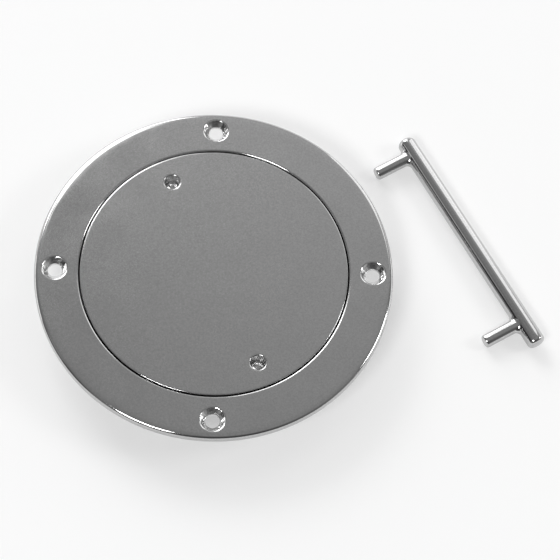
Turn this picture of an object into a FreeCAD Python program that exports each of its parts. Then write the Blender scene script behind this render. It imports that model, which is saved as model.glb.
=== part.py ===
import FreeCAD, Part
import Sketcher
import os

# A round deck inspection plate of cast stainless steel: a deck ring with a screw-in lid,
# the lid's seal, and the two-legged key that turns the lid.
# The origin is the centre of the flange's underside, where it meets the deck, with +Z up.
# The four screw holes lie on the X and Y axes.

doc = FreeCAD.newDocument("deck_inspection_plate")
sheet = doc.addObject("Spreadsheet::Sheet", "sizes")

# Two lengths within this many millimetres of each other are the same
SAME = 1e-4

FULL_TURN = 360
QUARTER_TURN = 90

# The lid's sockets lie opposite each other, as the key's two legs do
SOCKET_COUNT = 2

# How many flat bands stand for the round of the flange's edge and of the key's short end
EDGE_BANDS = 3
END_BANDS = 2

# Driving dimensions in millimetres and degrees
DIMENSIONS = [
    # the flange that is screwed to the deck
    ("flange_width", 18.5),
    ("flange_thickness", 3.6),
    ("flange_top_round", 1.8),
    # the collar that goes down through the deck
    ("collar_depth", 14.5),
    ("collar_wall", 3.5),
    ("collar_straight", 6.0),
    ("collar_low_wall", 4.0),
    # the deck screws
    ("screw_edge_distance", 8.5),
    ("screw_count", 4.0),
    ("screw_hole_diameter", 5.8),
    ("screw_sink_diameter", 10.6),
    ("screw_sink_angle", 90.0),
    # the lid's plate in its recess
    ("lid_overhang", 3.3),
    ("lid_plate", 3.8),
    ("lid_gap", 0.5),
    # the lid's skirt and the thread that both pieces share
    ("skirt_length", 12.3),
    ("skirt_wall", 3.6),
    ("thread_radius", 52.7),
    ("thread_pitch", 4.8),
    ("thread_depth", 1.3),
    ("thread_crest", 0.9),
    ("thread_flank_angle", 30.0),
    ("thread_play", 0.3),
    ("thread_lead", 0.8),
    ("lid_relief_height", 7.1),
    ("ring_relief_height", 4.3),
    ("relief_step", 0.1),
    # the seal between the lid's plate and the ring's ledge
    ("seal_height", 2.5),
    ("seal_clearance", 0.2),
    ("seal_spread_room", 1.0),
    # the two sockets for the key
    ("socket_inset", 2.65),
    ("socket_bearing", 114.0),
    ("socket_radius", 3.15),
    ("socket_depth", 6.5),
    ("socket_point_angle", 118.0),
    ("socket_mouth_bevel", 0.5),
    ("boss_radius", 6.0),
    ("boss_floor", 3.6),
    # the key
    ("key_clearance", 0.3),
    ("key_bar_radius", 3.95),
    ("key_short_end", 8.2),
    ("key_long_end", 12.0),
    ("key_short_end_round", 3.2),
    ("key_long_end_bevel", 1.4),
    ("key_leg_reach", 19.2),
    ("key_tip_bevel", 0.8),
    ("key_fillet", 2.0),
    # where the key lies beside the plate
    ("key_stand_off", 36.7),
    ("key_bearing", 12.8),
    ("key_turn", -60.8),
]


def fill_sheet():
    """Write every driving dimension into the sheet under its own alias."""
    for row, (alias, amount) in enumerate(DIMENSIONS, start=1):
        sheet.set("A%d" % row, alias)
        sheet.set("B%d" % row, str(amount))
        sheet.setAlias("B%d" % row, alias)
    doc.recompute()


def size(alias):
    """The formula that reads one driving dimension from the sheet."""
    return "sizes." + alias


def number(formula):
    """The present value of a formula, as a plain number."""
    value = sheet.evalExpression(str(formula))
    return float(getattr(value, "Value", value))


fill_sheet()

# Derived sizes, as formulas of the driving dimensions
TOP = size("flange_thickness")
COLLAR_FOOT = "(0 - sizes.collar_depth)"
LID_RADIUS = "(sizes.thread_radius + sizes.lid_overhang)"
RECESS_RADIUS = "(%s + sizes.lid_gap)" % LID_RADIUS
FLANGE_RADIUS = "(%s + sizes.flange_width)" % RECESS_RADIUS
SCREW_CIRCLE_RADIUS = "(%s - sizes.screw_edge_distance)" % FLANGE_RADIUS
COLLAR_RADIUS = "(%s + sizes.collar_wall)" % RECESS_RADIUS
LID_UNDER = "(sizes.flange_thickness - sizes.lid_plate)"
LEDGE = "(%s - sizes.seal_height)" % LID_UNDER
SKIRT_FOOT = "(%s - sizes.skirt_length)" % LID_UNDER
LID_ROOT_RADIUS = "(sizes.thread_radius - sizes.thread_depth)"
RING_CREST_RADIUS = "(%s + sizes.thread_play)" % LID_ROOT_RADIUS
RING_ROOT_RADIUS = "(sizes.thread_radius + sizes.thread_play)"
RING_RELIEF_RADIUS = "(%s + sizes.relief_step)" % RING_ROOT_RADIUS
RING_THREAD_TOP = "(%s - sizes.ring_relief_height)" % LEDGE
COLLAR_LOW_RADIUS = "(%s + sizes.collar_low_wall)" % RING_ROOT_RADIUS
LID_RELIEF_RADIUS = "(%s - sizes.relief_step)" % LID_ROOT_RADIUS
LID_THREAD_TOP = "(%s - sizes.lid_relief_height)" % LID_UNDER
SKIRT_INNER_RADIUS = "(%s - sizes.skirt_wall)" % LID_ROOT_RADIUS
SOCKET_FLOOR = "(sizes.flange_thickness - sizes.socket_depth)"
BOSS_HEIGHT = "(%s - %s + sizes.boss_floor)" % (LID_UNDER, SOCKET_FLOOR)
THREAD_START = "(%s - sizes.thread_pitch)" % COLLAR_FOOT
FLANK_SLOPE = "tan(sizes.thread_flank_angle * 1 deg)"
SEAL_INNER_RADIUS = "(%s + sizes.seal_clearance)" % LID_RELIEF_RADIUS
SEAL_OUTER_RADIUS = "(%s - sizes.seal_spread_room)" % RECESS_RADIUS
SOCKET_CIRCLE_RADIUS = "(%s - sizes.socket_inset)" % SKIRT_INNER_RADIUS
KEY_LEG_RADIUS = "(sizes.socket_radius - sizes.key_clearance)"
KEY_DISTANCE = "(%s + sizes.key_stand_off)" % FLANGE_RADIUS
KEY_DIP = ("asin((sizes.key_bar_radius - %s)"
           " / (sizes.key_leg_reach - sizes.key_tip_bevel))" % KEY_LEG_RADIUS)


def new_body(label):
    """An empty body whose label names the sub-part and its file."""
    body = doc.addObject("PartDesign::Body", label)
    body.Label = label
    return body


def origin_feature(body, role):
    """The body's own origin plane or axis with this role."""
    for feature in body.Origin.OriginFeatures:
        if feature.Role == role:
            return feature
    raise RuntimeError("no origin feature " + role)


def new_sketch(body, name, role, lift=None):
    """A sketch on one of the body's origin planes, lifted along the plane's normal."""
    sketch = body.newObject("Sketcher::SketchObject", name)
    sketch.AttachmentSupport = [(origin_feature(body, role), "")]
    sketch.MapMode = "FlatFace"
    if lift is not None:
        sketch.setExpression("AttachmentOffset.Base.z", lift)
    doc.recompute()
    return sketch


def bind_point(sketch, geometry, vertex, across, up):
    """Tie a sketch point's two distances from the origin to two formulas."""
    for kind, formula in (("DistanceX", across), ("DistanceY", up)):
        index = sketch.addConstraint(
            Sketcher.Constraint(kind, -1, 1, geometry, vertex, number(formula)))
        sketch.setExpression("Constraints[%d]" % index, str(formula))


def draw_outline(sketch, corners):
    """A closed outline of straight lines through corners given as pairs of formulas."""
    points = [FreeCAD.Vector(number(across), number(up), 0) for across, up in corners]
    count = len(points)
    for index in range(count):
        line = Part.LineSegment(points[index], points[(index + 1) % count])
        sketch.addGeometry(line, False)
    for index in range(count):
        following = (index + 1) % count
        sketch.addConstraint(Sketcher.Constraint("Coincident", index, 2, following, 1))
    for index, (across, up) in enumerate(corners):
        bind_point(sketch, index, 1, across, up)
    doc.recompute()


def quarter_round(across, up, radius, turn, bands):
    """Outline corners of a quarter circle from its top, turning by this angle in flat bands."""
    corners = []
    for index in range(bands + 1):
        angle = QUARTER_TURN + turn * index / bands
        corners.append(("(%s + %s * cos(%g * 1 deg))" % (across, radius, angle),
                        "(%s + %s * sin(%g * 1 deg))" % (up, radius, angle)))
    return corners


def draw_circle(sketch, across, up, radius):
    """A circle whose centre and radius are tied to formulas."""
    centre = FreeCAD.Vector(number(across), number(up), 0)
    circle = Part.Circle(centre, FreeCAD.Vector(0, 0, 1), number(radius))
    geometry = sketch.addGeometry(circle, False)
    bind_point(sketch, geometry, 3, across, up)
    index = sketch.addConstraint(
        Sketcher.Constraint("Radius", geometry, number(radius)))
    sketch.setExpression("Constraints[%d]" % index, str(radius))
    doc.recompute()


def revolve(body, name, sketch, axis="V_Axis"):
    """A full turn of the sketch about one of its own axes."""
    turned = body.newObject("PartDesign::Revolution", name)
    turned.Profile = sketch
    turned.ReferenceAxis = (sketch, [axis])
    turned.Angle = FULL_TURN
    doc.recompute()
    return turned


def pattern(body, name, features, count):
    """Equal copies of the features around the body's Z axis."""
    ring = body.newObject("PartDesign::PolarPattern", name)
    ring.Originals = features
    ring.Axis = (origin_feature(body, "Z_Axis"), [""])
    ring.Angle = FULL_TURN
    ring.setExpression("Occurrences", str(count))
    body.Tip = ring
    doc.recompute()
    return ring


def circle_edges(shape, radius, level=None):
    """Names of the circular edges with this radius and, if given, at this height."""
    names = []
    for index, edge in enumerate(shape.Edges, start=1):
        curve = edge.Curve
        if not isinstance(curve, Part.Circle):
            continue
        if abs(curve.Radius - number(radius)) > SAME:
            continue
        if level is not None and abs(curve.Center.z - number(level)) > SAME:
            continue
        names.append("Edge%d" % index)
    return names


def ease_edges(body, name, kind, edges, amount):
    """A fillet or a chamfer on named edges of the body's last feature."""
    if not edges:
        raise RuntimeError("no edge to ease for " + name)
    last = body.Tip
    feature = body.newObject("PartDesign::" + kind, name)
    feature.Base = (last, edges)
    feature.setExpression("Radius" if kind == "Fillet" else "Size", amount)
    doc.recompute()
    return feature


def cut_thread(body, name, section, start, finish):
    """A right-hand helical groove of this section, rising from start to finish."""
    before = body.Tip.Shape.Volume
    groove = body.newObject("PartDesign::SubtractiveHelix", name)
    groove.Profile = section
    groove.ReferenceAxis = (section, ["V_Axis"])
    groove.Mode = "pitch-height-angle"
    groove.setExpression("Pitch", size("thread_pitch"))
    groove.setExpression("Height", "%s - %s" % (finish, start))
    groove.LeftHanded = False
    doc.recompute()
    if groove.Shape.Volume >= before:
        raise RuntimeError("the thread cut nothing on " + name)
    return groove


def ridge_half_width(radius):
    """Half the width of the lid's thread ridge at a radius, as a formula."""
    return "(sizes.thread_crest / 2 + (sizes.thread_radius - %s) * %s)" % (radius, FLANK_SLOPE)


def draw_groove(sketch, middle, near, near_half, far, far_half):
    """The four-sided section of a thread groove, between a near and a far radius."""
    draw_outline(sketch, [
        (near, "(%s - %s)" % (middle, near_half)),
        (far, "(%s - %s)" % (middle, far_half)),
        (far, "(%s + %s)" % (middle, far_half)),
        (near, "(%s + %s)" % (middle, near_half)),
    ])


def build_deck_ring():
    """The flange and threaded collar, cast as one piece, with its four screw holes."""
    body = new_body("deck_ring")
    profile = new_sketch(body, "ring_profile", "XZ_Plane")
    taper_top = "(0 - sizes.collar_straight)"
    edge = quarter_round("(%s - sizes.flange_top_round)" % FLANGE_RADIUS,
                         "(%s - sizes.flange_top_round)" % TOP,
                         size("flange_top_round"), -QUARTER_TURN, EDGE_BANDS)
    draw_outline(profile, [(RECESS_RADIUS, TOP)] + edge + [
        (FLANGE_RADIUS, 0),
        (COLLAR_RADIUS, 0),
        (COLLAR_RADIUS, taper_top),
        (COLLAR_LOW_RADIUS, COLLAR_FOOT),
        (RING_CREST_RADIUS, COLLAR_FOOT),
        (RING_CREST_RADIUS, "(%s - sizes.thread_lead)" % RING_THREAD_TOP),
        (RING_RELIEF_RADIUS, RING_THREAD_TOP),
        (RING_RELIEF_RADIUS, LEDGE),
        (RECESS_RADIUS, LEDGE),
    ])
    revolve(body, "ring_casting", profile)

    hole_sketch = new_sketch(body, "screw_place", "XY_Plane", TOP)
    draw_circle(hole_sketch, SCREW_CIRCLE_RADIUS, 0, size("screw_hole_diameter") + " / 2")
    before = body.Tip.Shape.Volume
    hole = body.newObject("PartDesign::Hole", "screw_hole")
    hole.Profile = hole_sketch
    doc.recompute()
    hole.DepthType = "ThroughAll"
    hole.setExpression("Diameter", size("screw_hole_diameter"))
    hole.HoleCutType = "Countersink"
    hole.HoleCutCustomValues = True
    hole.setExpression("HoleCutDiameter", size("screw_sink_diameter"))
    hole.setExpression("HoleCutCountersinkAngle", size("screw_sink_angle"))
    doc.recompute()
    if hole.Shape.Volume >= before:
        raise RuntimeError("the screw hole cut nothing")
    pattern(body, "screw_holes", [hole], size("screw_count"))

    # the groove follows the lid's ridge, wider by the play on each flank and at the crest
    groove = new_sketch(body, "ring_thread_section", "XZ_Plane")
    inner = "(%s - sizes.thread_play)" % RING_CREST_RADIUS
    inner_half = "(%s + sizes.thread_play)" % ridge_half_width(inner)
    root_half = "(%s + sizes.thread_play)" % ridge_half_width(RING_ROOT_RADIUS)
    draw_groove(groove, THREAD_START, inner, inner_half, RING_ROOT_RADIUS, root_half)
    cut_thread(body, "ring_thread", groove, THREAD_START,
               "(%s + %s)" % (RING_THREAD_TOP, inner_half))
    return body


def build_lid():
    """The screw-in lid: plate, neck, threaded skirt and two sockets for the key."""
    body = new_body("lid")
    profile = new_sketch(body, "lid_profile", "XZ_Plane")
    lead_radius = "(sizes.thread_radius - sizes.thread_lead)"
    draw_outline(profile, [
        (0, TOP),
        (LID_RADIUS, TOP),
        (LID_RADIUS, LID_UNDER),
        (LID_RELIEF_RADIUS, LID_UNDER),
        (LID_RELIEF_RADIUS, LID_THREAD_TOP),
        (size("thread_radius"), LID_THREAD_TOP),
        (size("thread_radius"), "(%s + sizes.thread_lead)" % SKIRT_FOOT),
        (lead_radius, SKIRT_FOOT),
        (SKIRT_INNER_RADIUS, SKIRT_FOOT),
        (SKIRT_INNER_RADIUS, LID_UNDER),
        (0, LID_UNDER),
    ])
    revolve(body, "lid_casting", profile)

    across = "(%s * cos(sizes.socket_bearing * 1 deg))" % SOCKET_CIRCLE_RADIUS
    up = "(%s * sin(sizes.socket_bearing * 1 deg))" % SOCKET_CIRCLE_RADIUS
    boss_sketch = new_sketch(body, "boss_place", "XY_Plane", LID_UNDER)
    draw_circle(boss_sketch, across, up, size("boss_radius"))
    boss = body.newObject("PartDesign::Pad", "boss")
    boss.Profile = boss_sketch
    boss.setExpression("Length", BOSS_HEIGHT)
    boss.Reversed = True
    doc.recompute()
    pattern(body, "bosses", [boss], SOCKET_COUNT)

    socket_sketch = new_sketch(body, "socket_place", "XY_Plane", TOP)
    draw_circle(socket_sketch, across, up, size("socket_radius"))
    before = body.Tip.Shape.Volume
    socket = body.newObject("PartDesign::Hole", "socket")
    socket.Profile = socket_sketch
    doc.recompute()
    socket.DepthType = "Dimension"
    socket.setExpression("Depth", size("socket_depth"))
    socket.setExpression("Diameter", "2 * " + size("socket_radius"))
    socket.DrillPoint = "Angled"
    socket.setExpression("DrillPointAngle", size("socket_point_angle"))
    doc.recompute()
    if socket.Shape.Volume >= before:
        raise RuntimeError("the socket cut nothing")
    pattern(body, "sockets", [socket], SOCKET_COUNT)
    mouths = circle_edges(body.Tip.Shape, size("socket_radius"), TOP)
    ease_edges(body, "socket_mouths", "Chamfer", mouths, size("socket_mouth_bevel"))

    # the groove lies half a pitch from the ring's, so that the ridges mesh
    groove = new_sketch(body, "lid_thread_section", "XZ_Plane")
    outer = "(sizes.thread_radius + sizes.thread_play)"
    root_half = "(sizes.thread_pitch / 2 - %s)" % ridge_half_width(LID_ROOT_RADIUS)
    outer_half = "(sizes.thread_pitch / 2 - %s)" % ridge_half_width(outer)
    start = "(%s + sizes.thread_pitch / 2)" % THREAD_START
    draw_groove(groove, start, LID_ROOT_RADIUS, root_half, outer, outer_half)
    cut_thread(body, "lid_thread", groove, start, "(%s + %s)" % (LID_THREAD_TOP, outer_half))
    return body


def build_seal():
    """The flat rubber ring round the lid's neck, which the lid presses on the ledge."""
    body = new_body("seal")
    section = new_sketch(body, "seal_section", "XZ_Plane")
    draw_outline(section, [
        (SEAL_INNER_RADIUS, LEDGE),
        (SEAL_OUTER_RADIUS, LEDGE),
        (SEAL_OUTER_RADIUS, LID_UNDER),
        (SEAL_INNER_RADIUS, LID_UNDER),
    ])
    revolve(body, "seal_ring", section)
    return body


def junction_edges(shape):
    """Names of the edges where a leg meets the bar, which are neither lines nor circles."""
    names = []
    for index, edge in enumerate(shape.Edges, start=1):
        if not isinstance(edge.Curve, (Part.Circle, Part.Line)):
            names.append("Edge%d" % index)
    return names


def build_key():
    """The cast key: a round bar with two legs that fit the lid's sockets."""
    body = new_body("key")
    short_end = "(0 - %s - sizes.key_short_end)" % SOCKET_CIRCLE_RADIUS
    long_end = "(%s + sizes.key_long_end)" % SOCKET_CIRCLE_RADIUS
    bar_sketch = new_sketch(body, "bar_profile", "XY_Plane")
    short_corner = quarter_round("(%s + sizes.key_short_end_round)" % short_end,
                                 "(sizes.key_bar_radius - sizes.key_short_end_round)",
                                 size("key_short_end_round"), QUARTER_TURN, END_BANDS)
    draw_outline(bar_sketch, [
        (short_end, 0),
        (long_end, 0),
        (long_end, "(sizes.key_bar_radius - sizes.key_long_end_bevel)"),
        ("(%s - sizes.key_long_end_bevel)" % long_end, size("key_bar_radius")),
    ] + short_corner)
    revolve(body, "bar", bar_sketch, "H_Axis")

    leg_sketch = new_sketch(body, "leg_places", "XZ_Plane")
    draw_circle(leg_sketch, "(0 - %s)" % SOCKET_CIRCLE_RADIUS, 0, KEY_LEG_RADIUS)
    draw_circle(leg_sketch, SOCKET_CIRCLE_RADIUS, 0, KEY_LEG_RADIUS)
    legs = body.newObject("PartDesign::Pad", "legs")
    legs.Profile = leg_sketch
    legs.setExpression("Length", size("key_leg_reach"))
    doc.recompute()
    if legs.Shape.BoundBox.YMin > -number(size("key_leg_reach")) + SAME:
        raise RuntimeError("the legs point away from the sockets' side")
    tips = circle_edges(body.Tip.Shape, KEY_LEG_RADIUS)
    ease_edges(body, "leg_tips", "Chamfer", tips, size("key_tip_bevel"))
    ease_edges(body, "leg_roots", "Fillet", junction_edges(body.Tip.Shape), size("key_fillet"))

    # the key lies on its side, so the legs dip until their tips rest beside the bar
    height = "(%s + sizes.key_bar_radius)" % COLLAR_FOOT
    body.setExpression("Placement", (
        "placement(vector(%s * cos(sizes.key_bearing * 1 deg);"
        " %s * sin(sizes.key_bearing * 1 deg); %s);"
        " rotation(sizes.key_turn; 0; %s))"
        % (KEY_DISTANCE, KEY_DISTANCE, height, KEY_DIP)))
    doc.recompute()
    return body


def check_document(pieces):
    """Stop if any feature failed or any sub-part is empty or invalid."""
    for feature in doc.Objects:
        if "Invalid" in feature.State or "Error" in feature.State:
            raise RuntimeError("failed feature: " + feature.Name)
    for piece in pieces:
        if piece.Shape.isNull() or not piece.Shape.isValid():
            raise RuntimeError("bad sub-part: " + piece.Label)


pieces = [build_deck_ring(), build_seal(), build_lid(), build_key()]
doc.recompute()
check_document(pieces)
os.makedirs("parts", exist_ok=True)
for piece in pieces:
    piece.Shape.exportStep(os.path.join("parts", piece.Label + ".step"))
    print(piece.Label, "%.1f cubic mm" % piece.Shape.Volume)
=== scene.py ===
import math
import bmesh
import bpy
from mathutils import Matrix, Vector


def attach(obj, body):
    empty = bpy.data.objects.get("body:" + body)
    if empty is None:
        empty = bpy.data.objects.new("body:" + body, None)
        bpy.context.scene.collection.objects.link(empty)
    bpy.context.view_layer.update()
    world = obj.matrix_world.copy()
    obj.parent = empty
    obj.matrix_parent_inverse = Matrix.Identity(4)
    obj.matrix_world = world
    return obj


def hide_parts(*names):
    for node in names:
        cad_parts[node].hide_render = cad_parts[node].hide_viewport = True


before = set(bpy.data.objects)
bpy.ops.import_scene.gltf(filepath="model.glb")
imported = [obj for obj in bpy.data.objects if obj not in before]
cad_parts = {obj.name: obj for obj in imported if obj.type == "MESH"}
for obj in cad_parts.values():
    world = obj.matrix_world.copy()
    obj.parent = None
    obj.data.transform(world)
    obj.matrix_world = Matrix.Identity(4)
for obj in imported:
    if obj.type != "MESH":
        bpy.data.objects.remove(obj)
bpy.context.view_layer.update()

# The view. The camera stands where the photograph was taken: south of the plate, nearly
# 0.9 metres away and looking down at about 65 degrees. Its place and turns come from a fit
# to the outlines of the flange, the lid, the screw holes and the sockets.
camera_place = (-0.01120, -0.38039, 0.80865)
camera_bearing = math.radians(-5.86)
camera_tilt = math.radians(90 - 64.82)
camera_roll = math.radians(6.33)
camera_data = bpy.data.cameras.new("view")
camera_data.sensor_width = 36.0
camera_data.lens = 137.12
camera_data.clip_start = 0.01
camera = bpy.data.objects.new("view", camera_data)
camera.matrix_world = (Matrix.Translation(camera_place)
                       @ Matrix.Rotation(camera_bearing, 4, "Z")
                       @ Matrix.Rotation(camera_tilt, 4, "X")
                       @ Matrix.Rotation(camera_roll, 4, "Z"))
bpy.context.scene.collection.objects.link(camera)
bpy.context.scene.camera = camera
bpy.context.scene.view_settings.view_transform = "Standard"

# Deck ring. The flange and the threaded collar are one casting in stainless steel, screwed
# to the deck through four countersunk holes. The flange is turned and mirror polished; the
# collar, which the deck hides, stays as cast. Lengths are in millimetres, as on a drawing.
MM = 0.001
TURN = 2 * math.pi
around_ring = 256
flange_radius = 75.0
flange_top = 3.6
recess_radius = 56.5
ledge = -2.7
ledge_bore = 53.1
ring_crest = 51.7
thread_root = 53.0
thread_pitch = 4.8
groove_mouth = 51.4
collar_radius = 60.0
collar_foot = -14.5
screw_circle = 66.5
screw_bore = 2.9


def turned(target, corners, steps, centre=(0.0, 0.0)):
    """Turn a line of (radius, height, rounding, its segments) corners once about an axis."""
    part = bmesh.new()
    points = [part.verts.new((centre[0] + c[0], centre[1], c[1])) for c in corners]
    for first, second in zip(points, points[1:]):
        part.edges.new((first, second))
    for point, corner in zip(points, corners):
        if len(corner) > 2:
            bmesh.ops.bevel(part, geom=[point], offset=corner[2], offset_type="OFFSET",
                            segments=corner[3], profile=0.5, affect="VERTICES", material=-1)
    bmesh.ops.spin(part, geom=part.verts[:] + part.edges[:], axis=(0, 0, 1),
                   cent=(centre[0], centre[1], 0), angle=TURN, steps=steps, use_merge=True)
    bmesh.ops.remove_doubles(part, verts=part.verts[:], dist=1e-5)
    shape = bpy.data.meshes.new("turned")
    part.to_mesh(shape)
    part.free()
    target.from_mesh(shape)
    bpy.data.meshes.remove(shape)


def fill_flat(target, height):
    """Close a flat face, holes and all, between the open loops at this height."""
    rims = [e for e in target.edges if e.is_boundary
            and all(abs(v.co.z - height) < 1e-4 for v in e.verts)]
    bmesh.ops.triangle_fill(target, use_beauty=True, use_dissolve=False, edges=rims,
                            normal=(0, 0, 1))


def tool_from(part, name):
    """Make a closed mesh an object that can cut or join a piece."""
    bmesh.ops.recalc_face_normals(part, faces=part.faces[:])
    shape = bpy.data.meshes.new(name)
    part.to_mesh(shape)
    part.free()
    tool = bpy.data.objects.new(name, shape)
    bpy.context.scene.collection.objects.link(tool)
    return tool


def thread_cutter(start, finish, near, near_half, far, far_half):
    """A helical bar with a four-sided section, which cuts the thread's groove."""
    part = bmesh.new()
    section = ((near, -near_half), (far, -far_half), (far, far_half), (near, near_half))
    points = [part.verts.new((across, 0, start + up)) for across, up in section]
    edges = [part.edges.new((points[i], points[i - 1])) for i in range(4)]
    steps_a_turn = 144
    steps = int(steps_a_turn * (finish - start) / thread_pitch)
    bmesh.ops.spin(part, geom=points + edges, axis=(0, 0, 1), cent=(0, 0, 0),
                   dvec=(0, 0, thread_pitch / steps_a_turn),
                   angle=TURN * steps / steps_a_turn, steps=steps)
    bmesh.ops.holes_fill(part, edges=[e for e in part.edges if e.is_boundary], sides=4)
    return tool_from(part, "thread_cutter")


def machined(name, part, tools):
    """Make the mesh a piece, cut or joined with its tools, which are then put away."""
    piece = tool_from(part, name)
    for tool, operation in tools:
        cut = piece.modifiers.new(operation, "BOOLEAN")
        cut.solver = "EXACT"
        cut.operation = operation
        cut.object = tool
    bpy.context.view_layer.update()
    done = bpy.data.meshes.new_from_object(
        piece.evaluated_get(bpy.context.evaluated_depsgraph_get()))
    piece.modifiers.clear()
    piece.data = done
    for tool, _ in tools:
        bpy.data.objects.remove(tool)
    return piece


def finished(piece, crease=30):
    """Metres, smooth faces, and crisp edges where faces meet at more than the crease."""
    piece.data.transform(Matrix.Scale(MM, 4))
    piece.data.polygons.foreach_set("use_smooth", [True] * len(piece.data.polygons))
    piece.data.set_sharp_from_angle(angle=math.radians(crease))


ring = bmesh.new()
turned(ring, [(72.4, flange_top), (flange_radius, flange_top, 1.8, 10),
              (flange_radius, 0.0, 0.5, 4), (73.6, 0.0)], around_ring)
turned(ring, [(57.4, flange_top), (recess_radius, flange_top, 0.8, 7),
              (recess_radius, ledge, 0.3, 3), (ledge_bore, ledge, 0.25, 3),
              (ledge_bore, -7.0, 0.1, 2), (ring_crest, -7.8, 0.1, 2),
              (ring_crest, collar_foot, 0.3, 3), (57.0, collar_foot, 0.6, 4),
              (collar_radius, -6.0, 1.0, 4), (collar_radius, 0.0, 0.8, 4), (61.6, 0.0)],
       around_ring)
screw_holes = [(screw_circle * math.cos(quarter * TURN / 4),
                screw_circle * math.sin(quarter * TURN / 4)) for quarter in range(4)]
for hole in screw_holes:
    turned(ring, [(5.75, flange_top), (5.3, flange_top, 0.35, 5), (screw_bore, 1.2, 0.2, 4),
                  (screw_bore, 0.0, 0.1, 2), (3.3, 0.0)], 96, hole)
fill_flat(ring, flange_top)
fill_flat(ring, 0.0)
ring_groove = thread_cutter(collar_foot - thread_pitch, -5.4, groove_mouth, 1.5,
                            thread_root, 0.577)
deck_ring = machined("deck_ring_body", ring, [(ring_groove, "DIFFERENCE")])
finished(deck_ring)
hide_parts("deck_ring")
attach(deck_ring, "ring_body")


def steel(name, shade, smooth, rough, wave, closeness=45.0):
    """Stainless steel: a fine grain in its shade, patches between a smooth and a rough
    polish, waves of this height in millimetres, and pits that deepen with the roughness."""
    material = bpy.data.materials.new(name)
    material.use_nodes = True
    nodes, links = material.node_tree.nodes, material.node_tree.links
    shader = nodes["Principled BSDF"]
    shader.inputs["Metallic"].default_value = 1.0
    place = nodes.new("ShaderNodeTexCoord")

    def noise(scale, detail):
        node = nodes.new("ShaderNodeTexNoise")
        node.inputs["Scale"].default_value = scale
        node.inputs["Detail"].default_value = detail
        links.new(place.outputs["Object"], node.inputs["Vector"])
        return node.outputs["Fac"]

    def spread(value, low, high):
        node = nodes.new("ShaderNodeMapRange")
        node.inputs["From Min"].default_value = 0.3
        node.inputs["From Max"].default_value = 0.7
        node.inputs["To Min"].default_value = low
        node.inputs["To Max"].default_value = high
        links.new(value, node.inputs["Value"])
        return node.outputs["Result"]

    def bump(height, strength, distance):
        node = nodes.new("ShaderNodeBump")
        node.inputs["Strength"].default_value = strength
        node.inputs["Distance"].default_value = distance
        links.new(height, node.inputs["Height"])
        return node

    grain = noise(1500.0, 3.0)
    colour = nodes.new("ShaderNodeMix")
    colour.data_type = "RGBA"
    colour.inputs["A"].default_value = (shade * 0.92, shade * 0.92, shade * 0.92, 1)
    colour.inputs["B"].default_value = (shade * 1.08, shade * 1.08, shade * 1.08, 1)
    links.new(spread(grain, 0.0, 1.0), colour.inputs["Factor"])
    links.new(colour.outputs["Result"], shader.inputs["Base Color"])
    links.new(spread(noise(60.0, 4.0), smooth, rough), shader.inputs["Roughness"])
    waves = bump(noise(closeness, 1.0), 1.0, wave * MM)
    waves.name = "waves"
    pits = bump(grain, 0.3, rough * 0.03 * MM)
    links.new(waves.outputs["Normal"], pits.inputs["Normal"])
    links.new(pits.outputs["Normal"], shader.inputs["Normal"])
    return material


def finish_faces(piece, finishes, choose):
    """Give each face the finish whose number choose(x, y, z) returns, in millimetres."""
    piece.data.materials.clear()
    for finish in finishes:
        piece.data.materials.append(finish)
    for face in piece.data.polygons:
        face.material_index = choose(*(face.center / MM))


# Polishing wears the flange down a little toward its rim: nothing at 70 mm, most at 75 mm.
polished_ring = steel("polished_ring", 0.52, 0.06, 0.12, 0.15)
ring_nodes, ring_links = polished_ring.node_tree.nodes, polished_ring.node_tree.links
ring_place = ring_nodes.new("ShaderNodeTexCoord")
ring_flat = ring_nodes.new("ShaderNodeVectorMath")
ring_flat.operation = "MULTIPLY"
ring_flat.inputs[1].default_value = (1, 1, 0)
ring_links.new(ring_place.outputs["Object"], ring_flat.inputs[0])
ring_reach = ring_nodes.new("ShaderNodeVectorMath")
ring_reach.operation = "LENGTH"
ring_links.new(ring_flat.outputs["Vector"], ring_reach.inputs[0])
ring_brim = ring_nodes.new("ShaderNodeMapRange")
ring_brim.inputs["From Min"].default_value = 70.0 * MM
ring_brim.inputs["From Max"].default_value = flange_radius * MM
ring_links.new(ring_reach.outputs["Value"], ring_brim.inputs["Value"])
ring_bend = ring_nodes.new("ShaderNodeMath")
ring_bend.operation = "POWER"
ring_bend.inputs[1].default_value = 2.0
ring_links.new(ring_brim.outputs["Result"], ring_bend.inputs[0])
ring_roll = ring_nodes.new("ShaderNodeBump")
ring_roll.invert = True
ring_roll.inputs["Strength"].default_value = 1.0
ring_roll.inputs["Distance"].default_value = 0.07 * MM
ring_links.new(ring_bend.outputs["Value"], ring_roll.inputs["Height"])
ring_links.new(ring_roll.outputs["Normal"], ring_nodes["waves"].inputs["Normal"])
cast_steel = steel("cast_steel", 0.42, 0.38, 0.50, 0.05)
# Countersinks: turned, wavy steel whose colour is painted lighter, a painted brightness.
sunk_steel_painted_light = steel("sunk_steel_painted_light", 0.80, 0.08, 0.16, 0.28, 480.0)


def ring_finish(x, y, z):
    """Polished on the flange, turned and painted lighter in the countersinks, and as cast
    below the deck.
    """
    if 0.0 < z < 3.5 and min(math.hypot(x - a, y - b) for a, b in screw_holes) < 5.5:
        return 2
    return 1 if z < -0.05 else 0


finish_faces(deck_ring, (polished_ring, cast_steel, sunk_steel_painted_light), ring_finish)

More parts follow.
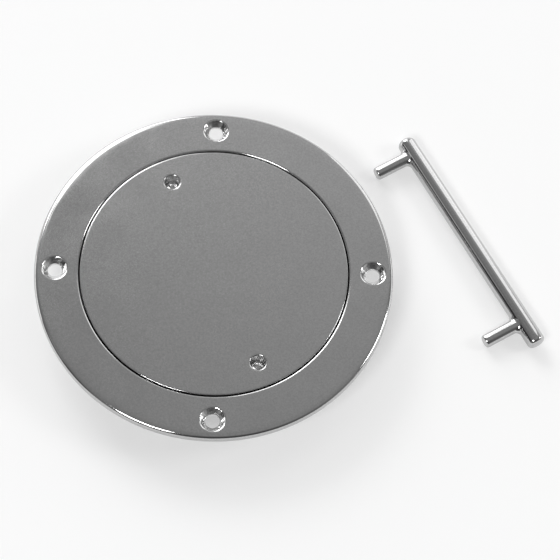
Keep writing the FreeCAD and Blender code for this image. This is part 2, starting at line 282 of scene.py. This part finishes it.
# Seal. A flat ring of black rubber round the lid's neck. The lid's plate presses it on the
# ring's ledge and takes it along when it screws out, so it shows only while the lid is up.
seal_top = -0.2
seal_bore = 51.5
seal_radius = 55.5
seal_part = bmesh.new()
turned(seal_part, [(seal_bore, ledge, 0.4, 3), (seal_radius, ledge, 0.4, 3),
                   (seal_radius, seal_top, 0.4, 3), (seal_bore, seal_top, 0.4, 3)], 192)
bmesh.ops.bridge_loops(seal_part, edges=[e for e in seal_part.edges if e.is_boundary])
seal = machined("seal_ring", seal_part, [])
finished(seal, crease=50)
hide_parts("seal")
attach(seal, "rising_body")

rubber = bpy.data.materials.new("black_rubber")
rubber.use_nodes = True
rubber_nodes, rubber_links = rubber.node_tree.nodes, rubber.node_tree.links
rubber_shader = rubber_nodes["Principled BSDF"]
rubber_shader.inputs["Specular IOR Level"].default_value = 0.35
rubber_place = rubber_nodes.new("ShaderNodeTexCoord")
rubber_dust = rubber_nodes.new("ShaderNodeTexNoise")
rubber_dust.inputs["Scale"].default_value = 700.0
rubber_dust.inputs["Detail"].default_value = 3.0
rubber_links.new(rubber_place.outputs["Object"], rubber_dust.inputs["Vector"])
rubber_colour = rubber_nodes.new("ShaderNodeMix")
rubber_colour.data_type = "RGBA"
rubber_colour.inputs["A"].default_value = (0.020, 0.020, 0.021, 1)
rubber_colour.inputs["B"].default_value = (0.045, 0.045, 0.045, 1)
rubber_links.new(rubber_dust.outputs["Fac"], rubber_colour.inputs["Factor"])
rubber_links.new(rubber_colour.outputs["Result"], rubber_shader.inputs["Base Color"])
rubber_rough = rubber_nodes.new("ShaderNodeMapRange")
rubber_rough.inputs["To Min"].default_value = 0.5
rubber_rough.inputs["To Max"].default_value = 0.75
rubber_links.new(rubber_dust.outputs["Fac"], rubber_rough.inputs["Value"])
rubber_links.new(rubber_rough.outputs["Result"], rubber_shader.inputs["Roughness"])
rubber_bump = rubber_nodes.new("ShaderNodeBump")
rubber_bump.inputs["Strength"].default_value = 0.2
rubber_bump.inputs["Distance"].default_value = 0.05 * MM
rubber_links.new(rubber_dust.outputs["Fac"], rubber_bump.inputs["Height"])
rubber_links.new(rubber_bump.outputs["Normal"], rubber_shader.inputs["Normal"])
seal.data.materials.clear()
seal.data.materials.append(rubber)

# Lid. The screw-in lid is a stainless casting too: a flat polished plate over a threaded
# skirt, with two blind sockets drilled for the key, each in a boss under the plate. Its
# ridges run half a pitch from the ring's, so that the two threads mesh.
lid_radius = 56.0
lid_neck = 51.3
lid_crest = 52.7
skirt_bore = 47.8
skirt_foot = -12.5
boss_radius = 6.0
boss_foot = -6.5
socket_circle = 45.15
socket_bearing = math.radians(114)
socket_radius = 3.15
socket_round = 0.6
around_socket = 72
lid_part = bmesh.new()
turned(lid_part, [(55.1, flange_top), (lid_radius, flange_top, 0.4, 6),
                  (lid_radius, seal_top, 0.35, 4), (lid_neck, seal_top, 0.2, 3),
                  (lid_neck, -7.3, 0.1, 2), (lid_crest, -7.3, 0.1, 2),
                  (lid_crest, -11.7, 0.1, 2), (51.9, skirt_foot, 0.1, 2),
                  (skirt_bore, skirt_foot, 0.4, 4), (skirt_bore, -12.0),
                  (skirt_bore, -1.3), (skirt_bore, seal_top, 1.0, 4), (46.7, seal_top),
                  (0.0, seal_top)], around_ring)
sockets = [(socket_circle * math.cos(socket_bearing + half * TURN / 2),
            socket_circle * math.sin(socket_bearing + half * TURN / 2)) for half in range(2)]
for across, up in sockets:
    bmesh.ops.create_circle(lid_part, cap_ends=True, segments=around_socket, radius=4.2,
                            matrix=Matrix.Translation((across, up, flange_top)))
# The plate's top is filled between its rim and the sockets' caps, which stay for drilling.
rims = [e for e in lid_part.edges if len(e.link_faces) == 1
        and all(abs(v.co.z - flange_top) < 1e-4 for v in e.verts)]
bmesh.ops.triangle_fill(lid_part, use_beauty=True, use_dissolve=False, edges=rims,
                        normal=(0, 0, 1))
lid_tools = []
for centre in sockets:
    boss = bmesh.new()
    turned(boss, [(0.0, 1.8), (boss_radius, 1.8), (boss_radius, -5.6),
                  (boss_radius, boss_foot, 0.8, 4), (5.1, boss_foot), (0.0, boss_foot)],
           around_socket, centre)
    lid_tools.append((tool_from(boss, "boss"), "UNION"))
lid_groove = thread_cutter(collar_foot - thread_pitch / 2, -6.0, groove_mouth, 1.2,
                           thread_root, 2.124)
lid_tools.append((lid_groove, "DIFFERENCE"))
lid = machined("lid_body_plate", lid_part, lid_tools)

# Each socket is drilled from its cap: a rounded mouth, a straight wall and a domed floor.
mouth_turns = [i * TURN / 24 for i in range(1, 7)]
drill_steps = [(socket_radius + socket_round, flange_top)]
drill_steps += [(socket_radius + socket_round * (1 - math.sin(turn)),
                 flange_top - socket_round + socket_round * math.cos(turn))
                for turn in mouth_turns]
drill_steps += [(socket_radius, 0.2), (socket_radius, -2.6), (3.0, -3.1), (2.5, -3.7),
                (1.6, -4.2)]
drill_tip = -4.5
drilled = bmesh.new()
drilled.from_mesh(lid.data)
for across, up in sockets:
    face = min((f for f in drilled.faces if len(f.verts) == around_socket),
               key=lambda f: (f.calc_center_median()
                              - Vector((across, up, flange_top))).length)
    for radius, height in drill_steps:
        face = bmesh.ops.extrude_discrete_faces(drilled, faces=[face])["faces"][0]
        centre = face.calc_center_median()
        scale = radius / (face.verts[0].co - centre).length
        for vert in face.verts:
            vert.co = Vector((across, up, height)) + (vert.co - centre) * scale
    tip = bmesh.ops.poke(drilled, faces=[face])["verts"][0]
    tip.co.z = drill_tip
drilled.to_mesh(lid.data)
drilled.free()
finished(lid)
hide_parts("lid")
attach(lid, "lid_body")
polished_lid = steel("polished_lid", 0.52, 0.09, 0.13, 0.06)
# Sockets: drilled, rougher steel whose colour is painted lighter, painted light in their
# shade.
drilled_steel_painted_light = steel("drilled_steel_painted_light", 0.64, 0.14, 0.24, 0.25, 450.0)


def lid_finish(x, y, z):
    """Polished on top and at the rim, drilled and painted lighter in the sockets, and as cast
    beneath.
    """
    if -4.6 < z < 3.3 and min(math.hypot(x - a, y - b) for a, b in sockets) < 3.4:
        return 2
    return 1 if z < -0.4 else 0


finish_faces(lid, (polished_lid, cast_steel, drilled_steel_painted_light), lid_finish)

# Key. A polished stainless casting: a round bar with two short round legs that drop into
# the lid's sockets, with a rolled fillet where they meet. It lies on its side next to the
# plate, with the bar on the ground and the legs dipping until their tips touch it too.
bar_radius = 3.95
bar_start = -53.35
bar_end = 57.05
leg_radius = 2.85
leg_fillet = 2.2
leg_reach = 19.2
leg_round = 1.0
leg_stations = (-socket_circle, socket_circle)
window_half = 5.5
window_bearing = 67.5
inner_edge = socket_circle - window_half
outer_edge = socket_circle + window_half
key_part = bmesh.new()
bar_line = [(0.0, bar_start), (bar_radius, bar_start, 2.6, 8), (bar_radius, -outer_edge)]
bar_line += [(bar_radius, -outer_edge + 2 * window_half * i / 14) for i in range(1, 15)]
bar_line += [(bar_radius, -inner_edge + 2 * inner_edge * i / 40) for i in range(1, 41)]
bar_line += [(bar_radius, inner_edge + 2 * window_half * i / 14) for i in range(1, 15)]
bar_line += [(bar_radius, 52.5), (bar_radius, bar_end, 1.9, 6), (0.0, bar_end)]
turned(key_part, bar_line, 48)
bmesh.ops.rotate(key_part, verts=key_part.verts[:], cent=(0, 0, 0),
                 matrix=Matrix.Rotation(TURN / 4, 3, "Y"))
turn_layer = key_part.verts.layers.float.new("turn")
fillet_offset = leg_radius + leg_fillet
leg_end = leg_round - leg_reach


def on_fillet(turn, share):
    """A point of the rolled fillet between the bar, share 0, and the leg, share 1."""
    beside = fillet_offset * math.sin(turn)
    drop = -math.sqrt((bar_radius + leg_fillet) ** 2 - beside ** 2)
    centre = Vector((fillet_offset * math.cos(turn), drop, beside))
    to_leg = Vector((-math.cos(turn), 0, -math.sin(turn)))
    to_bar = -Vector((0, drop, beside)).normalized()
    return centre + leg_fillet * to_bar.slerp(to_leg, share)


def round_leg(turn, radius, drop):
    """A point on the leg at this turn and radius from its axis, and this far along it."""
    return Vector((radius * math.cos(turn), drop, radius * math.sin(turn)))


def among(edges, verts):
    """The edges that run between these points."""
    chosen = set(verts)
    return [e for e in edges if e.verts[0] in chosen and e.verts[1] in chosen]


# The leg grows from the bar in bands: up the fillet, along the leg, and round its end.
bands = [lambda turn, share=i / 8: on_fillet(turn, share) for i in range(1, 9)]
bands += [lambda turn, share=i / 6: round_leg(
    turn, leg_radius, on_fillet(turn, 1.0).y * (1 - share) + leg_end * share)
    for i in range(1, 7)]
bands += [lambda turn, roll=i * TURN / 20: round_leg(
    turn, leg_radius - leg_round + leg_round * math.cos(roll),
    leg_end - leg_round * math.sin(roll)) for i in range(1, 6)]
bands.append(lambda turn: round_leg(turn, 1.5, -leg_reach))
for station in leg_stations:
    window_faces = []
    for face in key_part.faces:
        centre = face.calc_center_median()
        bearing = math.degrees(math.atan2(centre.z, -centre.y))
        if abs(centre.x - station) < window_half and abs(bearing) < window_bearing:
            window_faces.append(face)
    bmesh.ops.delete(key_part, geom=window_faces, context="FACES")
    window = [e for e in key_part.edges if e.is_boundary]
    loop = bmesh.ops.create_circle(key_part, segments=64, radius=1.0)["verts"]
    for vert in loop:
        vert[turn_layer] = math.atan2(vert.co.y, vert.co.x)
        vert.co = on_fillet(vert[turn_layer], 0.0) + Vector((station, 0, 0))
    fillet_edges = loop_edges = among(key_part.edges, loop)
    for band in bands:
        grown = bmesh.ops.extrude_edge_only(key_part, edges=loop_edges)["geom"]
        loop = [g for g in grown if isinstance(g, bmesh.types.BMVert)]
        loop_edges = among([g for g in grown if isinstance(g, bmesh.types.BMEdge)], loop)
        for vert in loop:
            vert.co = band(vert[turn_layer]) + Vector((station, 0, 0))
    bmesh.ops.contextual_create(key_part, geom=loop_edges)
    strip = bmesh.ops.bridge_loops(key_part, edges=window + fillet_edges)
    cut = bmesh.ops.subdivide_edges(key_part, edges=strip["edges"], cuts=3,
                                    use_grid_fill=True)["geom_inner"]
    for vert in {g for g in cut if isinstance(g, bmesh.types.BMVert)}:
        reach = math.hypot(vert.co.y, vert.co.z)
        vert.co.y *= bar_radius / reach
        vert.co.z *= bar_radius / reach
key = machined("lid_key", key_part, [])
key_bearing = math.radians(12.8)
key_reach = flange_radius + 36.7
key_turn = math.radians(-60.8)
key_dip = math.asin((bar_radius - leg_radius) / (leg_reach - 0.8))
key.data.transform(
    Matrix.Translation((key_reach * math.cos(key_bearing), key_reach * math.sin(key_bearing),
                        collar_foot + bar_radius))
    @ Matrix.Rotation(key_turn, 4, "Z") @ Matrix.Rotation(key_dip, 4, "X"))
finished(key)
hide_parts("key")
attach(key, "ring_body")
key.data.materials.clear()
key.data.materials.append(steel("polished_key", 0.52, 0.05, 0.09, 0.06))

# Floor. A sheet of white paper at the height of the collar's foot. Four tenths of what the
# camera and the polished steel see of it is its own white, so that it stays pale in the
# shade; the rest is lit by the lamps, and keeps the plate's and the key's soft shadows.
floor_reach = 3.0
floor_drop = 0.02
own_white = 0.40
floor_part = bmesh.new()
bmesh.ops.create_circle(floor_part, cap_ends=True, segments=96, radius=floor_reach,
                        matrix=Matrix.Translation((0, 0, (collar_foot - floor_drop) * MM)))
floor_shape = bpy.data.meshes.new("floor")
floor_part.to_mesh(floor_shape)
floor_part.free()
floor = bpy.data.objects.new("floor", floor_shape)
bpy.context.scene.collection.objects.link(floor)
paper = bpy.data.materials.new("white_paper")
paper.use_nodes = True
paper_nodes, paper_links = paper.node_tree.nodes, paper.node_tree.links
paper_shader = paper_nodes["Principled BSDF"]
paper_shader.inputs["Base Color"].default_value = (0.94, 0.94, 0.94, 1)
paper_shader.inputs["Roughness"].default_value = 1.0
paper_shader.inputs["Specular IOR Level"].default_value = 0.0
paper_glow = paper_nodes.new("ShaderNodeEmission")
paper_seen = paper_nodes.new("ShaderNodeLightPath")
paper_share = paper_nodes.new("ShaderNodeMath")
paper_share.operation = "MAXIMUM"
paper_links.new(paper_seen.outputs["Is Camera Ray"], paper_share.inputs[0])
paper_links.new(paper_seen.outputs["Is Glossy Ray"], paper_share.inputs[1])
paper_part = paper_nodes.new("ShaderNodeMath")
paper_part.operation = "MULTIPLY"
paper_part.inputs[1].default_value = own_white
paper_links.new(paper_share.outputs["Value"], paper_part.inputs[0])
paper_mix = paper_nodes.new("ShaderNodeMixShader")
paper_links.new(paper_part.outputs["Value"], paper_mix.inputs["Fac"])
paper_links.new(paper_shader.outputs["BSDF"], paper_mix.inputs[1])
paper_links.new(paper_glow.outputs["Emission"], paper_mix.inputs[2])
paper_links.new(paper_mix.outputs["Shader"], paper_nodes["Material Output"].inputs["Surface"])
floor.data.materials.append(paper)

# Lamps. Three lamps and five screens stand round the plate, which the camera doesn't see.
# Each lies where the polished edges mirror it as the photograph's white lines, and they
# light the floor from several sides, so that the shadows stay weak.


def way(bearing, height):
    """The direction at a bearing from the east and a height above the horizon, in degrees."""
    return Vector((math.cos(math.radians(height)) * math.cos(math.radians(bearing)),
                   math.cos(math.radians(height)) * math.sin(math.radians(bearing)),
                   math.sin(math.radians(height))))


def softbox(name, bearing, height, wide, high, radiance):
    """A lamp 4 m away at this bearing and height; all but the radiance is in degrees."""
    reach = 4.0
    lamp = bpy.data.lights.new(name, "AREA")
    lamp.shape = "RECTANGLE"
    lamp.size = 2 * reach * math.tan(math.radians(wide / 2))
    lamp.size_y = 2 * reach * math.tan(math.radians(high / 2))
    lamp.energy = radiance * lamp.size * lamp.size_y * math.pi
    box = bpy.data.objects.new(name, lamp)
    box.location = way(bearing, height) * reach
    box.rotation_euler = way(bearing, height).to_track_quat("Z", "Y").to_euler()
    box.visible_camera = False
    bpy.context.scene.collection.objects.link(box)


softbox("southwest_lamp", 235, 47, 20, 14, 13.8)
softbox("northwest_lamp", 120, 30, 30, 16, 5.4)
softbox("east_lamp", 4, 33, 18, 14, 8.0)
softbox("north_screen", 113, 22, 34, 44, 2.3)
softbox("northeast_screen", 55, 27, 18, 50, 1.0)
softbox("low_east_screen", 15, 5, 30, 12, 1.3)
softbox("low_west_screen", 163, 5, 24, 12, 1.3)
softbox("west_strip", 182, 37, 10, 8, 0.45)

# Room. Grey walls, palest at the horizon, which the flat steel mirrors as its mid grey. A
# window brightens the north, the south and a part of the west are dark, and a small glow
# overhead in the north is what the slopes at the flange's upper left catch.
world = bpy.data.worlds.new("studio")
bpy.context.scene.world = world
world.use_nodes = True
sky_nodes, sky_links = world.node_tree.nodes, world.node_tree.links
sky = sky_nodes["Background"]
sky_place = sky_nodes.new("ShaderNodeTexCoord")
sky_way = sky_nodes.new("ShaderNodeSeparateXYZ")
sky_links.new(sky_place.outputs["Generated"], sky_way.inputs[0])


def grey_steps(coordinate, steps):
    """Greys along one coordinate of the direction, each as (coordinate, grey)."""
    ramp = sky_nodes.new("ShaderNodeValToRGB")
    ramp.color_ramp.elements[0].position = steps[0][0]
    ramp.color_ramp.elements[1].position = steps[-1][0]
    for level, _ in steps[1:-1]:
        ramp.color_ramp.elements.new(level)
    for stop, (_, grey) in zip(ramp.color_ramp.elements, steps):
        stop.color = (grey, grey, grey, 1)
    sky_links.new(sky_way.outputs[coordinate], ramp.inputs["Fac"])
    return ramp.outputs["Color"]


def slope(value, start, end, most):
    """Nothing up to the start, then evenly up to the most at the end."""
    node = sky_nodes.new("ShaderNodeMapRange")
    node.inputs["From Min"].default_value = start
    node.inputs["From Max"].default_value = end
    node.inputs["To Max"].default_value = most
    sky_links.new(value, node.inputs["Value"])
    return node.outputs["Result"]


def patch(bearing, height, reach, core, most):
    """A round patch of the room: the most within the core, and nothing past its reach."""
    near = sky_nodes.new("ShaderNodeVectorMath")
    near.operation = "DOT_PRODUCT"
    near.inputs[1].default_value = way(bearing, height)
    sky_links.new(sky_place.outputs["Generated"], near.inputs[0])
    share = slope(near.outputs["Value"], math.cos(math.radians(reach)),
                  math.cos(math.radians(core)), most)
    share.node.interpolation_type = "SMOOTHSTEP"
    return share


def reckoned(operation, first, second):
    """Two values put together by arithmetic."""
    node = sky_nodes.new("ShaderNodeMath")
    node.operation = operation
    for socket, value in zip(node.inputs, (first, second)):
        if isinstance(value, float):
            socket.default_value = value
        else:
            sky_links.new(value, socket)
    return node.outputs["Value"]


def light_mixed(kind, first, second):
    """Two lights added, or one dimmed by the other."""
    node = sky_nodes.new("ShaderNodeMix")
    node.data_type = "RGBA"
    node.blend_type = kind
    node.inputs["Factor"].default_value = 1.0
    sky_links.new(first, node.inputs["A"])
    sky_links.new(second, node.inputs["B"])
    return node.outputs["Result"]


walls = grey_steps("Z", [(0.0, 0.85), (0.05, 0.80), (0.10, 0.50), (0.21, 0.45), (0.39, 0.27),
                         (0.55, 0.20), (0.77, 0.26), (0.91, 0.34)])
window = grey_steps("Y", [(0.28, 0.0), (0.38, 0.055), (0.43, 0.115), (0.475, 0.20),
                          (0.53, 0.28), (0.80, 0.34)])
south = slope(sky_way.outputs["Y"], -0.35, -0.85, 0.70)
above_horizon = slope(sky_way.outputs["Z"], 0.05, 0.16, 1.0)
west = slope(sky_way.outputs["X"], 0.0, -0.05, 0.12)
overhead = slope(sky_way.outputs["Z"], 0.6, 0.8, 1.0)
west_corner = patch(192, 12, 24, 12, 0.85)
dark_walls = reckoned("MULTIPLY", reckoned("ADD", south, west_corner), above_horizon)
shade = reckoned("ADD", dark_walls, reckoned("MULTIPLY", west, overhead))
room = light_mixed("MULTIPLY", light_mixed("ADD", walls, window),
                   reckoned("SUBTRACT", 1.0, shade))
glow = patch(103.5, 55.5, 6.3, 0.5, 4.0)
sky_links.new(light_mixed("ADD", room, glow), sky.inputs["Color"])
